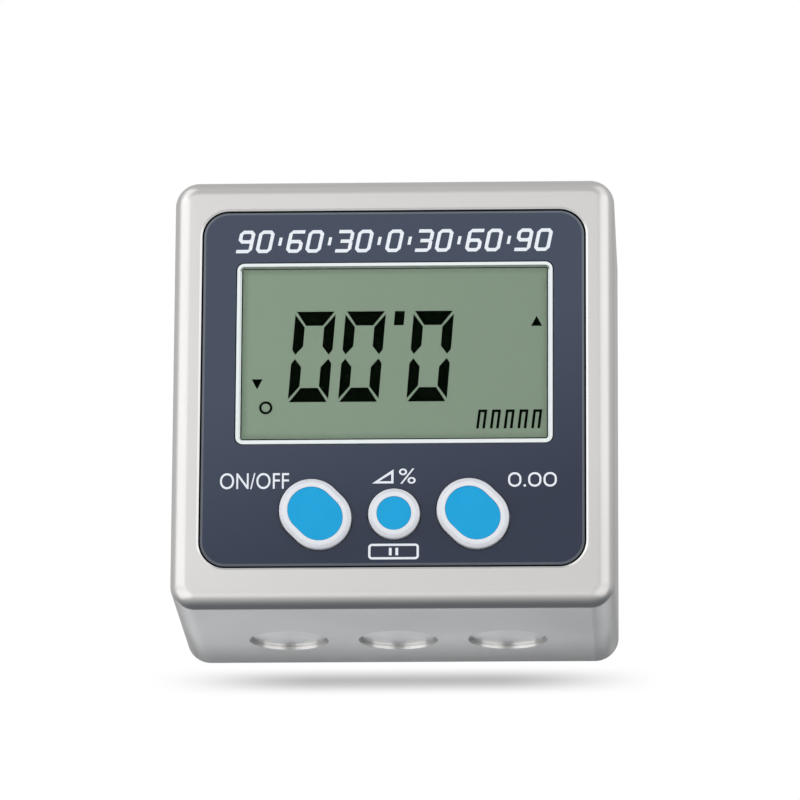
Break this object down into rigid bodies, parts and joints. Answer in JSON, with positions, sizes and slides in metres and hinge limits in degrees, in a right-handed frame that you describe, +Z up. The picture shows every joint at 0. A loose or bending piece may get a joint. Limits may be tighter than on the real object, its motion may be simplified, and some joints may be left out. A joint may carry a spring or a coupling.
{
  "type": "digital angle gauge",
  "caption": "Square metal digital inclinometer with a magnetic base, a reflective display in a dark front panel, push keys below it and a rear battery door.",
  "frame": {"origin": "on the plane of the magnetic base, under the middle of the box and its keys", "axes": "+Z up through the box, the display faces -Y, +X to the right as the display is read"},
  "size_m": [0.058, 0.0332, 0.058],
  "materials": {
    "satin_metal": "fine blasted satin, bright on rounded edges",
    "magnet_plating": "nickel plated, smooth",
    "panel_plastic": "dark slate blue, satin",
    "white_plastic": "white moulded, semi-gloss",
    "clear_lens": "clear, faintly matte",
    "display_film": "grey-green reflective film",
    "display_glass": "near black behind the film's marks",
    "strip_rubber": "layered conductive rubber",
    "key_plastic": "pale silver, smooth",
    "blue_plastic": "bright blue, satin",
    "cover_plastic": "dark grey, fine grain",
    "black_plastic": "black moulded",
    "screw_steel": "zinc plated",
    "contact_steel": "nickel plated strip and wire",
    "board_laminate": "green solder mask",
    "cell_jacket": "plain printed jacket",
    "red_insulation": "red wire insulation",
    "black_insulation": "black wire insulation"
  },
  "bodies": {
    "case": {"housing": "satin_metal", "base_magnet_left": "magnet_plating", "base_magnet_middle": "magnet_plating", "base_magnet_right": "magnet_plating", "front_panel": "panel_plastic", "display_holder": "white_plastic", "display_window": "clear_lens", "display_face": "display_film", "display_glass": "display_glass", "contact_strip": "strip_rubber", "power_switch": "black_plastic", "hold_switch": "black_plastic", "zero_switch": "black_plastic", "main_board": "board_laminate", "processor_chip": "black_plastic", "tilt_sensor": "black_plastic", "board_screw_lower_left": "screw_steel", "board_screw_lower_right": "screw_steel", "board_screw_upper_left": "screw_steel", "board_screw_upper_right": "screw_steel", "cover_screw_lower_left": "screw_steel", "cover_screw_lower_right": "screw_steel", "cover_screw_upper_left": "screw_steel", "cover_screw_upper_right": "screw_steel", "rear_cover": "cover_plastic", "battery_upper": "cell_jacket", "battery_lower": "cell_jacket", "battery_spring_upper": "contact_steel", "battery_spring_lower": "contact_steel", "positive_contact": "contact_steel", "negative_contact": "contact_steel", "battery_link": "contact_steel", "positive_lead": "red_insulation", "negative_lead": "black_insulation"},
    "power_button": {"power_key": "key_plastic", "power_key_inlay": "blue_plastic", "power_switch_plunger": "black_plastic"},
    "hold_button": {"hold_key": "key_plastic", "hold_key_inlay": "blue_plastic", "hold_switch_plunger": "black_plastic"},
    "zero_button": {"zero_key": "key_plastic", "zero_key_inlay": "blue_plastic", "zero_switch_plunger": "black_plastic"},
    "door": {"battery_door": "cover_plastic"}
  },
  "joints": [
    {"name": "power_press", "type": "slide", "parent": "case", "child": "power_button", "axis": [0, 1, 0], "range_m": [0, 0.0004], "stiffness_N_per_m": 3000},
    {"name": "hold_press", "type": "slide", "parent": "case", "child": "hold_button", "axis": [0, 1, 0], "range_m": [0, 0.0004], "stiffness_N_per_m": 3000},
    {"name": "zero_press", "type": "slide", "parent": "case", "child": "zero_button", "axis": [0, 1, 0], "range_m": [0, 0.0004], "stiffness_N_per_m": 3000},
    {"name": "door_lift_off", "type": "slide", "parent": "case", "child": "door", "axis": [0, 1, 0], "range_m": [0, 0.02]}
  ]
}
